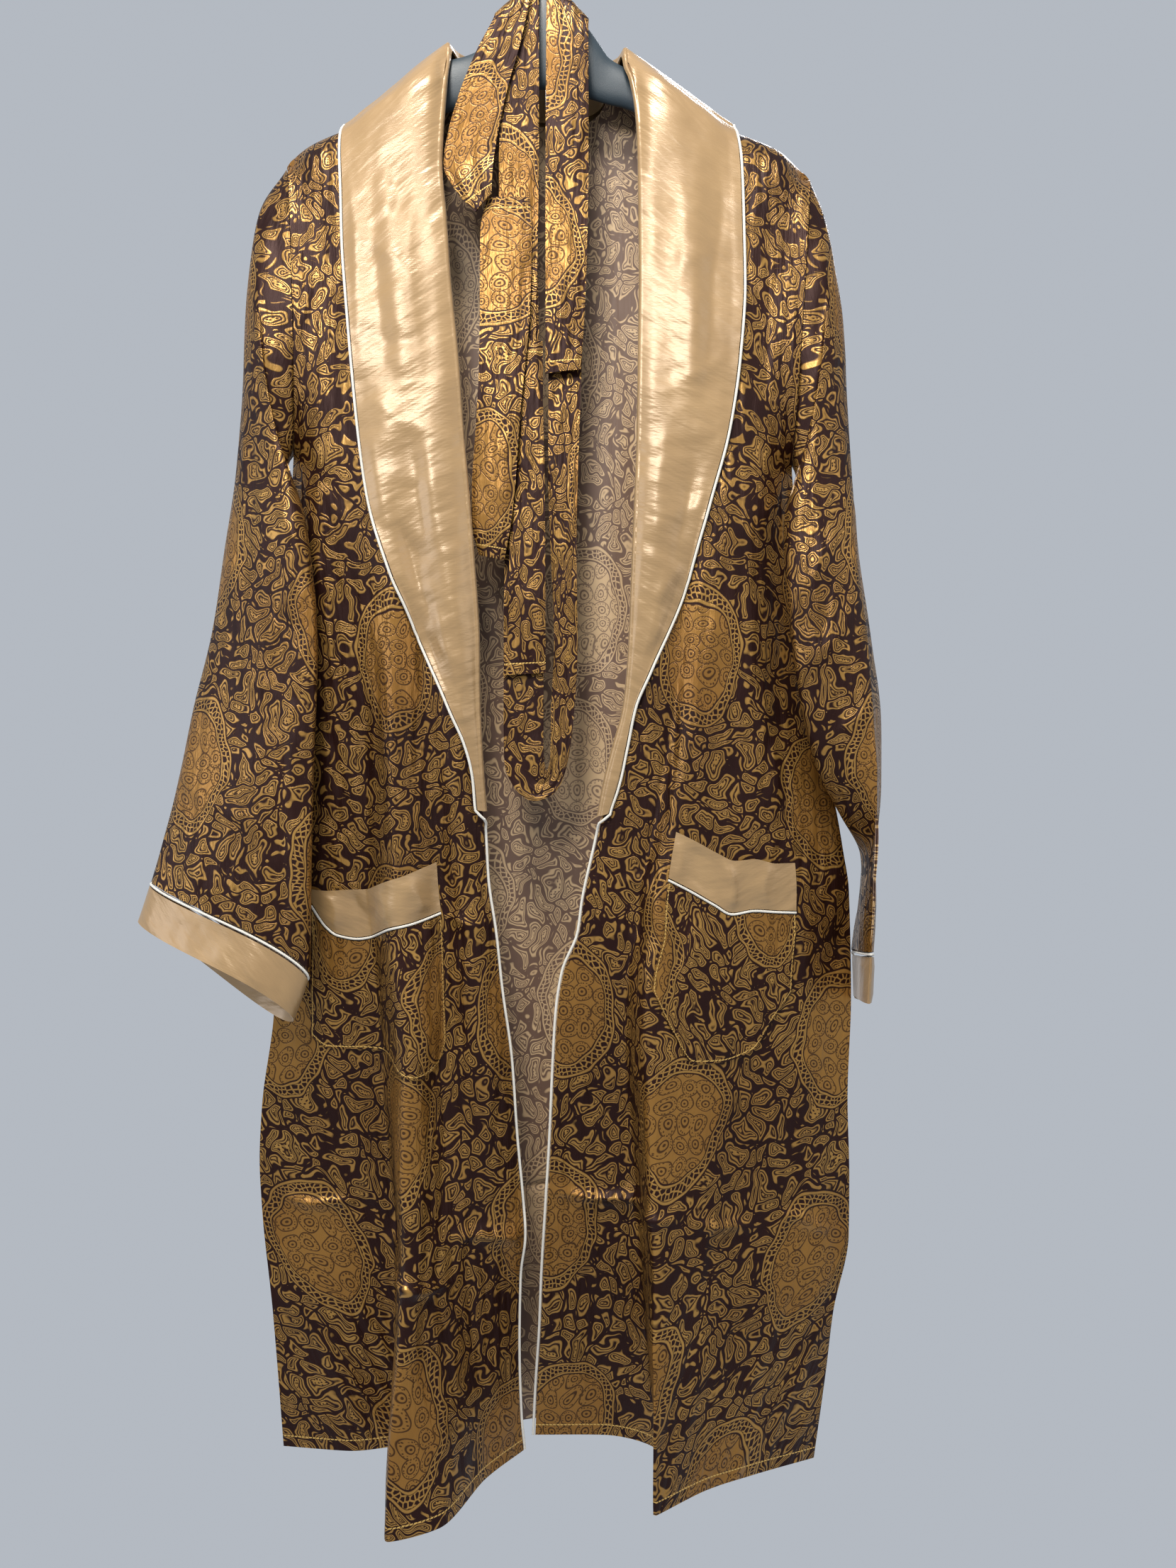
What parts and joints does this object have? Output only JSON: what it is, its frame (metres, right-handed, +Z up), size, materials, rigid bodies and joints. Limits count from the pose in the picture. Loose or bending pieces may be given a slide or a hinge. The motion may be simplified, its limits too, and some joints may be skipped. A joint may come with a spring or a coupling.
{
  "type": "dressing gown on a hanger",
  "caption": "Long satin dressing gown with a shawl collar, patch pockets and its tie belt, hung open on a wide-shouldered plastic hanger with a steel hook.",
  "frame": {"origin": "inside of the crown of the hanger's hook, where it rests on a rail", "axes": "+Z up, the gown's front faces -Y, and the wearer's left is at +X"},
  "size_m": [0.6384, 0.2105, 1.3474],
  "materials": {
    "jacquard_satin": "satin-faced jacquard, dark brown with a gold figure",
    "plain_satin": "glossy gold satin",
    "piping": "off-white corded piping",
    "hanger_plastic": "dark slate, fine matt",
    "hook_steel": "bright plated wire"
  },
  "bodies": {
    "root": {"back": "jacquard_satin", "right_front": "jacquard_satin", "left_front": "jacquard_satin", "right_sleeve": "jacquard_satin", "left_sleeve": "jacquard_satin", "right_pocket": "jacquard_satin", "left_pocket": "jacquard_satin", "belt_fold": "jacquard_satin", "belt_middle": "jacquard_satin", "belt_left_end": "jacquard_satin", "belt_right_end": "jacquard_satin", "belt_tail": "jacquard_satin", "belt_loop": "jacquard_satin", "right_cuff": "plain_satin", "left_cuff": "plain_satin", "right_collar": "plain_satin", "left_collar": "plain_satin", "right_pocket_band": "plain_satin", "left_pocket_band": "plain_satin", "right_cuff_piping": "piping", "left_cuff_piping": "piping", "right_front_piping": "piping", "left_front_piping": "piping", "right_pocket_piping": "piping", "left_pocket_piping": "piping", "hanger_body": "hanger_plastic", "hanger_hook": "hook_steel"}
  },
  "joints": []
}
